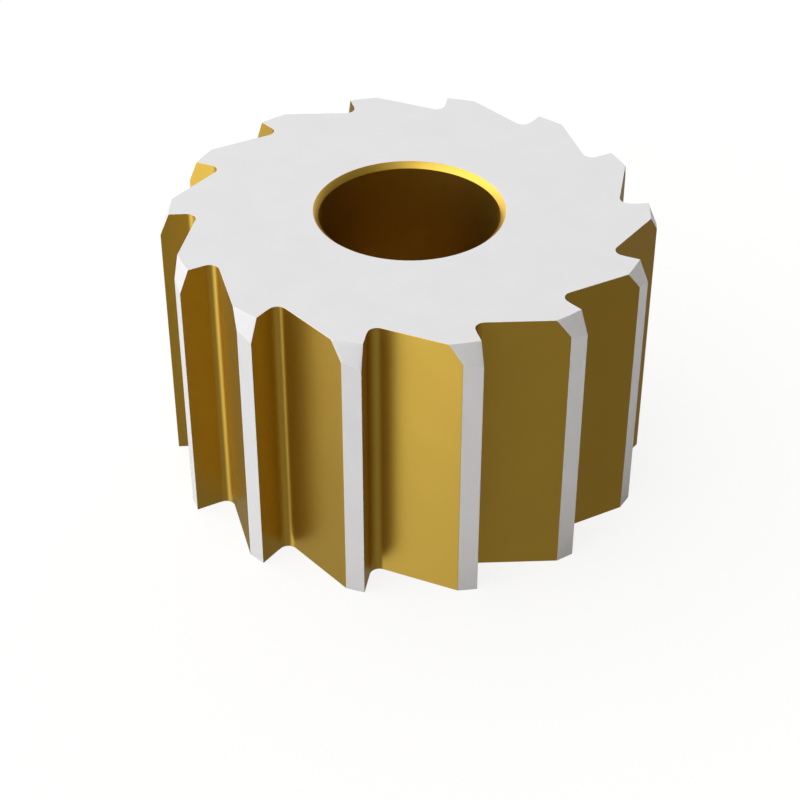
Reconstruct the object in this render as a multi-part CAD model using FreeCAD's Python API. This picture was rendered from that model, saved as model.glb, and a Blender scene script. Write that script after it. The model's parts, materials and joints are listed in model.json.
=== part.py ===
import FreeCAD, Part
import math
import os

# Reamer: a straight-fluted shell reamer, ground all over from one piece of hardened tool steel.
# It slides on the shaft of a hand tool and opens out a round seat, leading end first.
# The origin is the middle of the base, and +Z runs along the axis to the leading end.
# Seen from the leading end it cuts anticlockwise, which is a right-hand cut from the driven end.

# Body
cutting_diameter = 44.0
body_length = 25.7

# Teeth
tooth_count = 14
first_edge_angle = -99.9        # where the first cutting edge stands, in degrees from +X
land_width = 1.7
relief_angle = 6.0              # how far the land falls away behind the cutting edge
rake_angle = 0.0                # 0 makes the cutting face radial
flute_angle = 77.0              # between the cutting face and the back of the next tooth
root_radius = 0.85

# Leading end
lead_length = 2.1
lead_angle = 22.5               # from the axis

# Bore
bore_diameter = 16.0
bore_chamfer = 0.5              # at 45 degrees, the same at both ends

# What follows from them
cutting_radius = cutting_diameter / 2
bore_radius = bore_diameter / 2
tooth_pitch = 360.0 / tooth_count
land_sweep = math.degrees(land_width / cutting_radius)
heel_radius = cutting_radius - land_width * math.tan(math.radians(relief_angle))
lead_depth = lead_length * math.tan(math.radians(lead_angle))
overrun = 1.0                   # how far each cut runs out past the blank


def polar(radius, degrees):
    angle = math.radians(degrees)
    return FreeCAD.Vector(radius * math.cos(angle), radius * math.sin(angle), 0)


def crossing(point_a, direction_a, point_b, direction_b):
    """Where a line through point_a meets a line through point_b, both in the plane of the base."""
    span = point_b - point_a
    spread = direction_a.x * direction_b.y - direction_a.y * direction_b.x
    along = (span.x * direction_b.y - span.y * direction_b.x) / spread
    return point_a + direction_a * along


def flute_edges(index):
    """One flute: the cutting face, the rounded root and the back of the next tooth, then its land."""
    edge_angle = first_edge_angle + index * tooth_pitch
    next_angle = edge_angle + tooth_pitch
    cutting_corner = polar(cutting_radius, edge_angle)
    heel = polar(heel_radius, next_angle - land_sweep)
    next_corner = polar(cutting_radius, next_angle)

    up_the_face = polar(1, edge_angle - rake_angle)
    up_the_back = polar(1, edge_angle - rake_angle + flute_angle)
    root = crossing(cutting_corner, up_the_face, heel, up_the_back)

    half_angle = math.radians(flute_angle / 2)
    setback = root_radius / math.tan(half_angle)
    face_end = root + up_the_face * setback
    back_start = root + up_the_back * setback
    middle = polar(1, edge_angle - rake_angle + flute_angle / 2)
    root_bottom = root + middle * (root_radius / math.sin(half_angle) - root_radius)

    return [
        Part.LineSegment(cutting_corner, face_end).toShape(),
        Part.Arc(face_end, root_bottom, back_start).toShape(),
        Part.LineSegment(back_start, heel).toShape(),
        Part.LineSegment(heel, next_corner).toShape(),
    ]


def toothed_bar():
    """The outline of all the teeth, drawn on the base and carried up the whole length."""
    edges = []
    for index in range(tooth_count):
        edges += flute_edges(index)
    outline = Part.Face(Part.Wire(edges))
    return outline.extrude(FreeCAD.Vector(0, 0, body_length))


def turned(profile):
    """A closed profile of (radius, height) points, turned once round the axis."""
    points = [FreeCAD.Vector(radius, 0, height) for radius, height in profile]
    face = Part.Face(Part.makePolygon(points + points[:1]))
    return face.revolve(FreeCAD.Vector(0, 0, 0), FreeCAD.Vector(0, 0, 1), 360)


def lead_cut():
    """The ring taken off the tips of the teeth so that the reamer starts in the hole."""
    slope = lead_depth / lead_length
    foot = (cutting_radius + overrun * slope, body_length - lead_length - overrun)
    brim = (cutting_radius - lead_depth - overrun * slope, body_length + overrun)
    return turned([foot, brim, (foot[0], brim[1])])


def bore_cut():
    """The plain bore for the shaft, with its edge broken at both ends."""
    mouth_radius = bore_radius + bore_chamfer
    return turned([
        (0, -overrun),
        (mouth_radius, -overrun),
        (mouth_radius, 0),
        (bore_radius, bore_chamfer),
        (bore_radius, body_length - bore_chamfer),
        (mouth_radius, body_length),
        (mouth_radius, body_length + overrun),
        (0, body_length + overrun),
    ])


def shell_reamer():
    return toothed_bar().cut(lead_cut()).cut(bore_cut())


os.makedirs("parts", exist_ok=True)
shell_reamer().exportStep("parts/shell_reamer.step")
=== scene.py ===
"""A straight-fluted shell reamer, gold-coated in its flutes and bore and ground on its lands.

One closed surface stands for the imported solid, at its real size, with three finishes on it: flat
ground steel on the end faces, cylindrically ground steel on the lands and the lead chamfer, and a
titanium nitride coating where the grinding wheel did not reach afterwards.
"""

import json
import math
from typing import NamedTuple

import bmesh
import bpy
import numpy as np
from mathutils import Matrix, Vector


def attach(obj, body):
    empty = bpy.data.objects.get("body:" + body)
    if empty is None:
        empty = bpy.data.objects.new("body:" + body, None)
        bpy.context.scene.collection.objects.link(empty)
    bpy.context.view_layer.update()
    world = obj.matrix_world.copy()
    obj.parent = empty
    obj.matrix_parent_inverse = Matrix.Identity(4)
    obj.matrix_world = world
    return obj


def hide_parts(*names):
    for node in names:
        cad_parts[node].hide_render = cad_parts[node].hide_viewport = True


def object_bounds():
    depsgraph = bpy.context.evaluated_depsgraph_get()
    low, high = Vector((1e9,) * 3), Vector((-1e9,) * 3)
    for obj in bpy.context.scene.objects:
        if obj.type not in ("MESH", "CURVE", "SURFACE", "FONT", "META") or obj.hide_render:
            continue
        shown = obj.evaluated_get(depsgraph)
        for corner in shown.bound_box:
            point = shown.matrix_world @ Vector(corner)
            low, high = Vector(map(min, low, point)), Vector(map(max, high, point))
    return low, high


bl_info = {
    "name": "Shell reamer",
    "version": (1, 0, 0),
    "blender": (4, 5, 0),
    "location": "3D View > Sidebar > Reamer",
    "description": "Builds a straight-fluted shell reamer and the studio that it stands in",
    "category": "Object",
}

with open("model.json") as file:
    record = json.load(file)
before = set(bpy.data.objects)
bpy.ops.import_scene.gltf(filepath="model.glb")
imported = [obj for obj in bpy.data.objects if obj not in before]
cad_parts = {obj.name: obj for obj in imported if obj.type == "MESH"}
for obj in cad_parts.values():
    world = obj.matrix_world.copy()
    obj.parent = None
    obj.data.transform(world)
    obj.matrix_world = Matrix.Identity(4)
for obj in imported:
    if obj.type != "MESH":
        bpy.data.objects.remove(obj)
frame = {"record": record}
cad_box = [list(corner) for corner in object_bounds()]

MM = 0.001
NODE = "shell_reamer"
BODY = "root"

BODY_LENGTH = cad_box[1][2] - cad_box[0][2]
BORE_MOUNT = next(m for m in frame["record"]["mounts"] if m["name"] == "bore")
BORE_DIAMETER = 2 * MM * BORE_MOUNT["dims"]["r_mm"]
BORE_CHAMFER = (BODY_LENGTH - MM * BORE_MOUNT["dims"]["length_mm"]) / 2

# How finely the surface is divided
ROOT_STEPS = 12
LEAD_STEPS = 5
LAND_STEPS = 6
BACK_STEPS = 9
BEVEL_STEPS = 2
BEVEL_LIMIT = math.radians(15)  # edges that turn by more than this are worn round
MOUTH_LAG = 10                  # stations by which the mouth of the bore falls behind the outline
WELD = 1e-7


class SoftLamp(NamedTuple):
    """A lamp so far away that only its direction counts. Strengths are shares of white."""

    direction: Vector
    start: float                # cosine of the angle from the direction at which its light starts
    full: float                 # cosine at which the light would be full
    strength: float
    colour: str = "#ffffff"


WINDOW_LEFT = SoftLamp(Vector((-0.869, -0.282, 0.407)), 0.25, 1.1, 2.57)
PANEL_OVER_CAMERA = SoftLamp(Vector((0.0, -0.565, 0.825)), 0.8, 1.0, 0.44)
WINDOW_BEHIND = SoftLamp(Vector((-0.142, 0.807, 0.574)), 0.45, 0.99, 1.52)
LOW_GLOW_LEFT = SoftLamp(Vector((-0.644, -0.522, -0.559)), 0.93, 0.99, 0.83, "#ebf0ff")
LOW_GLOW_FRONT = SoftLamp(Vector((0.215, -0.800, -0.559)), 0.9, 1.0, 0.1)
SOFT_LAMPS = (WINDOW_LEFT, PANEL_OVER_CAMERA, WINDOW_BEHIND, LOW_GLOW_LEFT, LOW_GLOW_FRONT)

AIR_STRENGTH = 0.25
AIR_COLOUR = "#fff2da"

# Floor
FLOOR_HALF = 3.0
FLOOR_LIGHT = 1.18              # what all that light comes to on open floor, as a share of white
SHADOW_SHARE = 0.12             # how much of the floor's brightness a shadow can take away

# Camera, with its sensor and lens in millimetres
SENSOR_WIDTH = 36.0
LENS = 85.44
CLIP_START = 0.01


def length_property(name, text, default):
    return bpy.props.FloatProperty(
        name=name, description=text, default=default, min=0.0, precision=5, unit="LENGTH"
    )


def angle_property(name, text, degrees):
    return bpy.props.FloatProperty(
        name=name, description=text, default=math.radians(degrees), subtype="ANGLE"
    )


def factor_property(name, text, default):
    return bpy.props.FloatProperty(
        name=name, description=text, default=default, min=0.0, max=1.0, subtype="FACTOR"
    )


def linear(hex_colour):
    """An sRGB hex colour such as "#c8a54b" as linear red, green and blue."""
    parts = [int(hex_colour[i:i + 2], 16) / 255 for i in (1, 3, 5)]
    return tuple(p / 12.92 if p <= 0.04045 else ((p + 0.055) / 1.055) ** 2.4 for p in parts)


def colour_property(name, text, hex_colour):
    return bpy.props.FloatVectorProperty(
        name=name, description=text, default=linear(hex_colour),
        size=3, min=0, max=1, subtype="COLOR",
    )


class ReamerSizes(bpy.types.PropertyGroup):
    cutting_diameter: length_property("Cutting diameter", "Across the cutting edges", 44 * MM)
    body_length: length_property("Body length", "From the base to the leading face", BODY_LENGTH)
    bore_diameter: length_property("Bore", "The bore that the shaft passes through", BORE_DIAMETER)
    bore_chamfer: length_property("Bore chamfer", "Width of the bore's broken edge", BORE_CHAMFER)
    tooth_count: bpy.props.IntProperty(
        name="Teeth", description="How many teeth go round", default=14, min=6, max=40
    )
    first_edge_angle: angle_property("First edge", "Where the first cutting edge stands", -99.9)
    land_width: length_property("Land", "Width of the ground strip behind a cutting edge", 1.7 * MM)
    relief_angle: angle_property("Relief", "How far the land falls away", 6)
    flute_angle: angle_property("Flute angle", "Between a cutting face and the next back", 77)
    root_radius: length_property("Root radius", "Rounding at the bottom of a flute", 0.85 * MM)
    lead_length: length_property("Lead", "Length of the chamfer at the leading end", 2.1 * MM)
    lead_angle: angle_property("Lead angle", "Slope of that chamfer from the axis", 22.5)
    edge_rounding: length_property("Edge rounding", "How far the sharp edges are worn", 0.035 * MM)


class ReamerFinishes(bpy.types.PropertyGroup):
    steel: colour_property("Ground steel", "Colour of the bare ground surfaces", "#c8c9cd")
    coating: colour_property("Coating", "Colour of the hard coating", "#c7a647")
    flat_roughness: factor_property("End faces", "Roughness of the flat ground ends", 0.7)
    land_roughness: factor_property("Lands", "Roughness of the ground lands", 0.7)
    ground_scatter: factor_property("Scatter", "Share of light that the ground faces scatter", 0.6)
    coating_roughness: factor_property("Coating gloss", "Roughness of the coated flutes", 0.34)


class ReamerStudio(bpy.types.PropertyGroup):
    floor_colour: colour_property("Floor", "Colour of the paper under the reamer", "#f7f7f7")
    camera_distance: length_property("Distance", "From the camera to the body's middle", 174.7 * MM)
    camera_height: angle_property("Height", "How steeply the camera looks down", 34.384)
    aim_below: length_property("Aim below", "How far under the middle the camera aims", 6.5 * MM)
    aim_left: length_property("Aim left", "How far left of the middle the camera aims", 0.82 * MM)


def unit(angle):
    """The direction at an angle from +X, as an array whose last axis is x, y."""
    angle = np.asarray(angle, float)
    return np.stack([np.cos(angle), np.sin(angle)], axis=-1)


def cross(a, b):
    return a[..., 0] * b[..., 1] - a[..., 1] * b[..., 0]


def between(start, end, steps):
    """Points from start to end in equal steps, with both ends."""
    share = np.linspace(0, 1, steps + 1)[:, None]
    return start + share * (end - start)


def reach(point, direction, radius):
    """Where a line that leaves an outer point inwards first meets the circle of that radius."""
    along = point @ direction
    step = -along - math.sqrt(along**2 - point @ point + radius**2)
    return point + step * direction


class FlutePlan:
    """One tooth space seen along the axis, with its cutting corner on the +X axis.

    The cutting face is a radial line. The back of the next tooth leaves it at the flute angle and
    ends at the heel. A circle that touches both lines rounds the root. The land is the straight
    line from the heel to the next cutting corner, and the heel lies inside the cutting circle by
    the land times the tangent of the relief. The lead circle is where the lead chamfer meets the
    end face.
    """

    def __init__(self, sizes):
        pitch = 2 * math.pi / sizes.tooth_count
        radius = sizes.cutting_diameter / 2
        heel_radius = radius - sizes.land_width * math.tan(sizes.relief_angle)
        self.lead_radius = radius - sizes.lead_length * math.tan(sizes.lead_angle)

        corner = radius * unit(0)
        next_corner = radius * unit(pitch)
        heel = heel_radius * unit(pitch - sizes.land_width / radius)
        up_face = unit(0)
        up_back = unit(sizes.flute_angle)
        root = corner + cross(heel - corner, up_back) / cross(up_face, up_back) * up_face

        half = sizes.flute_angle / 2
        centre = root + unit(half) * sizes.root_radius / math.sin(half)
        quarter = math.pi / 2
        # Clockwise, from where the circle touches the cutting face to where it touches the back
        turn = np.linspace(-quarter, sizes.flute_angle - 3 * quarter, ROOT_STEPS + 1)
        fillet = centre + sizes.root_radius * unit(turn)

        face_top = reach(corner, -up_face, self.lead_radius)
        back_top = reach(heel, -up_back, self.lead_radius)
        arc_start = math.atan2(back_top[1], back_top[0])

        self.face_lead = between(corner, face_top, LEAD_STEPS)
        back = between(fillet[-1], back_top, BACK_STEPS)
        self.flute = np.concatenate([face_top[None], fillet, back[1:]])
        self.back_lead = between(back_top, heel, LEAD_STEPS)
        self.land = between(heel, next_corner, LAND_STEPS)
        self.tip_arc = self.lead_radius * unit(np.linspace(arc_start, pitch, LAND_STEPS + 1))

    def base_outline(self):
        return np.concatenate([self.face_lead, self.flute[1:], self.back_lead[1:], self.land[1:]])

    def top_outline(self):
        """The edge of the leading face, with as many points as the base: some of them coincide."""
        face_top = np.repeat(self.flute[:1], LEAD_STEPS + 1, axis=0)
        back_top = np.repeat(self.flute[-1:], LEAD_STEPS, axis=0)
        return np.concatenate([face_top, self.flute[1:], back_top, self.tip_arc[1:]])


class Shell:
    """Gathers grids of points into one mesh. Each grid is a surface over two parameters."""

    def __init__(self):
        self.points = []
        self.quads = []
        self.finishes = []
        self.count = 0

    def add(self, grids, finish):
        """Adds grids of rows by columns by x, y, z, stacked along a first axis, as quads."""
        copies, rows, columns = grids.shape[:3]
        index = self.count + np.arange(copies * rows * columns).reshape(copies, rows, columns)
        corners = [index[:, :-1, :-1], index[:, :-1, 1:], index[:, 1:, 1:], index[:, 1:, :-1]]
        quads = np.stack(corners, axis=-1).reshape(-1, 4)
        self.points.append(grids.reshape(-1, 3))
        self.quads.append(quads)
        self.finishes.append(np.full(len(quads), finish))
        self.count += copies * rows * columns

    def mesh(self, name):
        """Welds the grids where they meet, which closes up flat quads, and turns all outwards."""
        mesh = bpy.data.meshes.new(name)
        points = np.concatenate(self.points)
        quads = np.concatenate(self.quads)
        finishes = np.concatenate(self.finishes)
        mesh.from_pydata(points.tolist(), [], quads.tolist())
        mesh.polygons.foreach_set("material_index", finishes.astype(np.int32))
        mesh.polygons.foreach_set("use_smooth", np.ones(len(mesh.polygons), bool))
        work = bmesh.new()
        work.from_mesh(mesh)
        bmesh.ops.remove_doubles(work, verts=work.verts, dist=WELD)
        bmesh.ops.recalc_face_normals(work, faces=work.faces)
        open_edges = sum(not edge.is_manifold for edge in work.edges)
        if open_edges:
            raise RuntimeError(f"the reamer's surface is open along {open_edges} edges")
        work.to_mesh(mesh)
        work.free()
        return mesh


FLAT_STEEL, ROUND_STEEL, COATING = range(3)


def cutter_shell(sizes):
    """The whole reamer as grids that share their edges, each one repeated for every tooth.

    A wall is a line of the plan carried from the base up to the leading face or, outside the lead
    circle, up to the lead cone, whose height is the length less the distance beyond that circle
    over the tangent of the lead angle. A tip is the same cone between the arc on the lead circle
    and the land, point by point. An end face runs straight from its outline to the mouth of the
    bore, whose stations are equal steps, set back a little so that every line between them stays
    in the metal.
    """
    plan = FlutePlan(sizes)
    length = sizes.body_length
    pitch = 2 * math.pi / sizes.tooth_count
    turns = (sizes.first_edge_angle + pitch * np.arange(sizes.tooth_count))[:, None]

    def cone_height(points):
        beyond = np.linalg.norm(points, axis=-1) - plan.lead_radius
        return length - np.maximum(beyond, 0) / math.tan(sizes.lead_angle)

    def all_round(rows):
        """Rows of (plan points, heights) as one grid for each tooth, turned to its place."""
        flat = np.stack([points for points, heights in rows])
        height = np.stack([np.broadcast_to(heights, len(points)) for points, heights in rows])
        radius = np.linalg.norm(flat, axis=-1).ravel()
        angle = np.arctan2(flat[..., 1], flat[..., 0]).ravel() + turns
        heights = np.broadcast_to(height.ravel(), angle.shape)
        place = np.stack([radius * np.cos(angle), radius * np.sin(angle), heights], axis=-1)
        return place.reshape(len(turns), *flat.shape[:2], 3)

    shell = Shell()
    walls = [
        (plan.face_lead, COATING),
        (plan.flute, COATING),
        (plan.back_lead, COATING),
        (plan.land, ROUND_STEEL),
    ]
    for line, finish in walls:
        shell.add(all_round([(line, 0), (line, cone_height(line))]), finish)

    shares = np.linspace(0, 1, LEAD_STEPS + 1)
    tip_rows = [plan.tip_arc + share * (plan.land - plan.tip_arc) for share in shares]
    shell.add(all_round([(row, cone_height(row)) for row in tip_rows]), ROUND_STEEL)

    outline = plan.base_outline()
    steps = len(outline) - 1
    outward = unit(pitch * (np.arange(steps + 1) - MOUTH_LAG) / steps)
    bore = outward * sizes.bore_diameter / 2
    mouth = outward * (sizes.bore_diameter / 2 + sizes.bore_chamfer)
    shell.add(all_round([(outline, 0), (mouth, 0)]), FLAT_STEEL)
    shell.add(all_round([(plan.top_outline(), length), (mouth, length)]), FLAT_STEEL)
    chamfer = sizes.bore_chamfer
    bore_rows = [(mouth, 0), (bore, chamfer), (bore, length - chamfer), (mouth, length)]
    shell.add(all_round(bore_rows), COATING)
    return shell


def add_node(tree, kind, inputs=None, **settings):
    """Adds one node with its settings. An input is a value, or a socket that is linked to it."""
    node = tree.nodes.new(kind)
    for name, value in settings.items():
        setattr(node, name, value)
    for name, value in (inputs or {}).items():
        if isinstance(value, bpy.types.NodeSocket):
            tree.links.new(value, node.inputs[name])
        else:
            node.inputs[name].default_value = value
    return node


def new_material(name):
    material = bpy.data.materials.new(name)
    material.use_nodes = True
    material.node_tree.nodes.clear()
    return material, material.node_tree


def close_material(tree, shader):
    add_node(tree, "ShaderNodeOutputMaterial", {"Surface": shader.outputs[0]})


def per_metre(millimetres):
    """A noise scale whose features are about that many millimetres across."""
    return 1 / (millimetres * MM)


def opaque(colour):
    return (*colour, 1.0)


def shaded(colour, factor):
    return opaque(min(1.0, c * factor) for c in colour)


def metal(tree, tones, tone_share, roughness, rough_share, rough_spread, bump, scatter=0.0):
    """A bare metal shader: two tones mixed by a pattern, a varying roughness and a fine relief.

    The scatter is the share of light that a ground surface throws back evenly off fine grooves.
    """
    tone = add_node(
        tree, "ShaderNodeMix", {0: tone_share, 6: tones[0], 7: tones[1]}, data_type="RGBA"
    )
    rough = add_node(
        tree, "ShaderNodeMapRange",
        {
            "Value": rough_share,
            "To Min": roughness - rough_spread,
            "To Max": roughness + rough_spread,
        },
    )
    polished = add_node(
        tree, "ShaderNodeBsdfPrincipled",
        {
            "Base Color": tone.outputs[2],
            "Metallic": 1.0,
            "Roughness": rough.outputs[0],
            "Normal": bump.outputs[0],
        },
    )
    if not scatter:
        return polished
    grooves = add_node(
        tree, "ShaderNodeBsdfDiffuse", {"Color": tone.outputs[2], "Normal": bump.outputs[0]}
    )
    return add_node(
        tree, "ShaderNodeMixShader", {0: scatter, 1: polished.outputs[0], 2: grooves.outputs[0]}
    )


def flat_ground_steel(finishes):
    """Hardened tool steel, surface ground: an even satin grey with a faint cloudy grain."""
    material, tree = new_material("tool_steel_surface_ground")
    place = add_node(tree, "ShaderNodeTexCoord").outputs["Object"]
    cloud = add_node(
        tree, "ShaderNodeTexNoise", {"Vector": place, "Scale": per_metre(3), "Detail": 6.0}
    )
    grain = add_node(
        tree, "ShaderNodeTexNoise", {"Vector": place, "Scale": per_metre(0.25), "Detail": 3.0}
    )
    bump = add_node(
        tree, "ShaderNodeBump",
        {"Height": grain.outputs[0], "Strength": 0.05, "Distance": 0.01 * MM},
    )
    tones = [shaded(finishes.steel, 0.97), shaded(finishes.steel, 1.03)]
    shader = metal(
        tree, tones, cloud.outputs[0], finishes.flat_roughness, grain.outputs[0], 0.04, bump,
        scatter=finishes.ground_scatter,
    )
    close_material(tree, shader)
    return material


def round_ground_steel(finishes):
    """Hardened tool steel, cylindrically ground: satin, with fine scratches round the axis.

    The real scratches are a few hundredths of a millimetre apart. They are drawn wider to show.
    """
    material, tree = new_material("tool_steel_round_ground")
    place = add_node(tree, "ShaderNodeTexCoord").outputs["Object"]
    along = add_node(tree, "ShaderNodeMapping", {"Vector": place, "Scale": (0.1, 0.1, 1.0)})
    lines = add_node(
        tree, "ShaderNodeTexNoise",
        {"Vector": along.outputs[0], "Scale": per_metre(0.12), "Detail": 3.0},
    )
    cloud = add_node(
        tree, "ShaderNodeTexNoise", {"Vector": place, "Scale": per_metre(4), "Detail": 4.0}
    )
    bump = add_node(
        tree, "ShaderNodeBump",
        {"Height": lines.outputs[0], "Strength": 0.06, "Distance": 0.01 * MM},
    )
    tones = [shaded(finishes.steel, 0.97), shaded(finishes.steel, 1.03)]
    shader = metal(
        tree, tones, cloud.outputs[0], finishes.land_roughness, lines.outputs[0], 0.05, bump,
        scatter=finishes.ground_scatter,
    )
    close_material(tree, shader)
    return material


def nitride_coating(finishes):
    """Titanium nitride on milled steel: a clear warm gold, glossier than the ground surfaces."""
    material, tree = new_material("titanium_nitride_coating")
    place = add_node(tree, "ShaderNodeTexCoord").outputs["Object"]
    cloud = add_node(
        tree, "ShaderNodeTexNoise", {"Vector": place, "Scale": per_metre(5), "Detail": 4.0}
    )
    along = add_node(tree, "ShaderNodeMapping", {"Vector": place, "Scale": (1.0, 1.0, 0.02)})
    marks = add_node(
        tree, "ShaderNodeTexNoise",
        {"Vector": along.outputs[0], "Scale": per_metre(0.12), "Detail": 1.0},
    )
    bump = add_node(
        tree, "ShaderNodeBump",
        {"Height": marks.outputs[0], "Strength": 0.01, "Distance": 0.003 * MM},
    )
    tones = [shaded(finishes.coating, 0.95), shaded(finishes.coating, 1.05)]
    shader = metal(
        tree, tones, cloud.outputs[0], finishes.coating_roughness, marks.outputs[0], 0.015, bump
    )
    close_material(tree, shader)
    return material


def paper(studio, mouth_radius):
    """Matt white paper that takes a soft shadow.

    Metal looks past it into the air of the studio, except at the bottom of the bore.
    """
    material, tree = new_material("matt_paper")
    ray = add_node(tree, "ShaderNodeLightPath").outputs
    place = add_node(tree, "ShaderNodeNewGeometry").outputs["Position"]
    from_axis = add_node(tree, "ShaderNodeVectorMath", {0: place}, operation="LENGTH")
    past_bore = add_node(
        tree, "ShaderNodeMath", {0: from_axis.outputs["Value"], 1: mouth_radius},
        operation="GREATER_THAN",
    )
    sheet = add_node(
        tree, "ShaderNodeBsdfDiffuse", {"Color": opaque(studio.floor_colour), "Roughness": 1.0}
    )
    faint = add_node(
        tree, "ShaderNodeBsdfDiffuse", {"Color": shaded(studio.floor_colour, SHADOW_SHARE)}
    )
    glow = add_node(tree, "ShaderNodeEmission", {"Strength": 1 - SHADOW_SHARE * FLOOR_LIGHT})
    seen = add_node(tree, "ShaderNodeAddShader", {0: faint.outputs[0], 1: glow.outputs[0]})
    matt = add_node(
        tree, "ShaderNodeMixShader",
        {0: ray["Is Camera Ray"], 1: sheet.outputs[0], 2: seen.outputs[0]},
    )
    through = add_node(tree, "ShaderNodeBsdfTransparent")
    mirrored = add_node(
        tree, "ShaderNodeMath", {0: ray["Is Glossy Ray"], 1: ray["Is Transmission Ray"]},
        operation="MAXIMUM",
    )
    open_share = add_node(
        tree, "ShaderNodeMath", {0: mirrored.outputs[0], 1: past_bore.outputs[0]},
        operation="MULTIPLY",
    )
    shader = add_node(
        tree, "ShaderNodeMixShader",
        {0: open_share.outputs[0], 1: matt.outputs[0], 2: through.outputs[0]},
    )
    close_material(tree, shader)
    return material


def studio_air():
    """The light all round: wide soft lamps in dim air, which fade out smoothly at their edges."""
    world = bpy.data.worlds.new("studio_air")
    world.use_nodes = True
    tree = world.node_tree
    tree.nodes.clear()
    place = add_node(tree, "ShaderNodeTexCoord").outputs["Generated"]
    light = tuple(AIR_STRENGTH * c for c in linear(AIR_COLOUR))
    for lamp in SOFT_LAMPS:
        facing = add_node(
            tree, "ShaderNodeVectorMath", {0: place, 1: lamp.direction.normalized()},
            operation="DOT_PRODUCT",
        ).outputs["Value"]
        fading = add_node(
            tree, "ShaderNodeMapRange",
            {
                "Value": facing,
                "From Min": lamp.start,
                "From Max": lamp.full,
                "To Max": lamp.strength,
            },
            interpolation_type="SMOOTHSTEP",
        )
        light = add_node(
            tree, "ShaderNodeVectorMath",
            {0: linear(lamp.colour), 1: fading.outputs[0], 2: light},
            operation="MULTIPLY_ADD",
        ).outputs[0]
    glow = add_node(tree, "ShaderNodeBackground", {"Color": light})
    add_node(tree, "ShaderNodeOutputWorld", {"Surface": glow.outputs[0]})
    return world


def link(name, data):
    thing = bpy.data.objects.new(name, data)
    bpy.context.scene.collection.objects.link(thing)
    return thing


class BuildCutter(bpy.types.Operator):
    """Build the reamer in one piece, with its three finishes"""

    bl_idname = "reamer.build_cutter"
    bl_label = "Cutter"

    def execute(self, context):
        sizes = context.scene.reamer_sizes
        finishes = context.scene.reamer_finishes
        cutter = link("reamer_cutter", cutter_shell(sizes).mesh("reamer_cutter"))
        for material in (flat_ground_steel, round_ground_steel, nitride_coating):
            cutter.data.materials.append(material(finishes))

        bevel = cutter.modifiers.new("worn_edges", "BEVEL")
        bevel.width = sizes.edge_rounding
        bevel.segments = BEVEL_STEPS
        bevel.limit_method = "ANGLE"
        bevel.angle_limit = BEVEL_LIMIT
        bevel.use_clamp_overlap = False
        cutter.modifiers.new("flat_faces_stay_flat", "WEIGHTED_NORMAL")

        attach(cutter, BODY)
        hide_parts(NODE)
        return {"FINISHED"}


class BuildStudio(bpy.types.Operator):
    """Lay the paper, hang the lamps and set the camera"""

    bl_idname = "reamer.build_studio"
    bl_label = "Studio"

    def execute(self, context):
        scene = context.scene
        sizes = scene.reamer_sizes
        studio = scene.reamer_studio
        middle = Vector((0, 0, sizes.body_length / 2))

        half = FLOOR_HALF
        sheet = bpy.data.meshes.new("paper_floor")
        corners = [(-half, -half, 0), (half, -half, 0), (half, half, 0), (-half, half, 0)]
        sheet.from_pydata(corners, [], [(0, 1, 2, 3)])
        sheet.materials.append(paper(studio, sizes.bore_diameter / 2 + sizes.bore_chamfer))
        link("paper_floor", sheet)

        scene.world = studio_air()

        height = studio.camera_height
        back = Vector((0, -math.cos(height), math.sin(height)))
        up = Vector((0, math.sin(height), math.cos(height)))
        aim = middle - up * studio.aim_below - Vector((studio.aim_left, 0, 0))
        camera = bpy.data.cameras.new("camera")
        camera.lens = LENS
        camera.sensor_width = SENSOR_WIDTH
        camera.clip_start = CLIP_START
        holder = link("camera", camera)
        holder.location = middle + back * studio.camera_distance
        holder.rotation_euler = (holder.location - aim).to_track_quat("Z", "Y").to_euler()
        scene.camera = holder
        scene.view_settings.view_transform = "Standard"
        return {"FINISHED"}


class ReamerPanel(bpy.types.Panel):
    bl_idname = "VIEW3D_PT_reamer"
    bl_label = "Reamer"
    bl_space_type = "VIEW_3D"
    bl_region_type = "UI"
    bl_category = "Reamer"

    def draw(self, context):
        scene = context.scene
        for group in (scene.reamer_sizes, scene.reamer_finishes, scene.reamer_studio):
            box = self.layout.box()
            for name in group.__annotations__:
                box.prop(group, name)
        for operator in (BuildCutter, BuildStudio):
            self.layout.operator(operator.bl_idname)


CLASSES = (ReamerSizes, ReamerFinishes, ReamerStudio, BuildCutter, BuildStudio, ReamerPanel)


def register():
    for cls in CLASSES:
        bpy.utils.register_class(cls)
    bpy.types.Scene.reamer_sizes = bpy.props.PointerProperty(type=ReamerSizes)
    bpy.types.Scene.reamer_finishes = bpy.props.PointerProperty(type=ReamerFinishes)
    bpy.types.Scene.reamer_studio = bpy.props.PointerProperty(type=ReamerStudio)


def unregister():
    del bpy.types.Scene.reamer_studio
    del bpy.types.Scene.reamer_finishes
    del bpy.types.Scene.reamer_sizes
    for cls in reversed(CLASSES):
        bpy.utils.unregister_class(cls)


def main():
    register()
    bpy.ops.reamer.build_studio()
    bpy.ops.reamer.build_cutter()


if __name__ == "__main__":
    main()
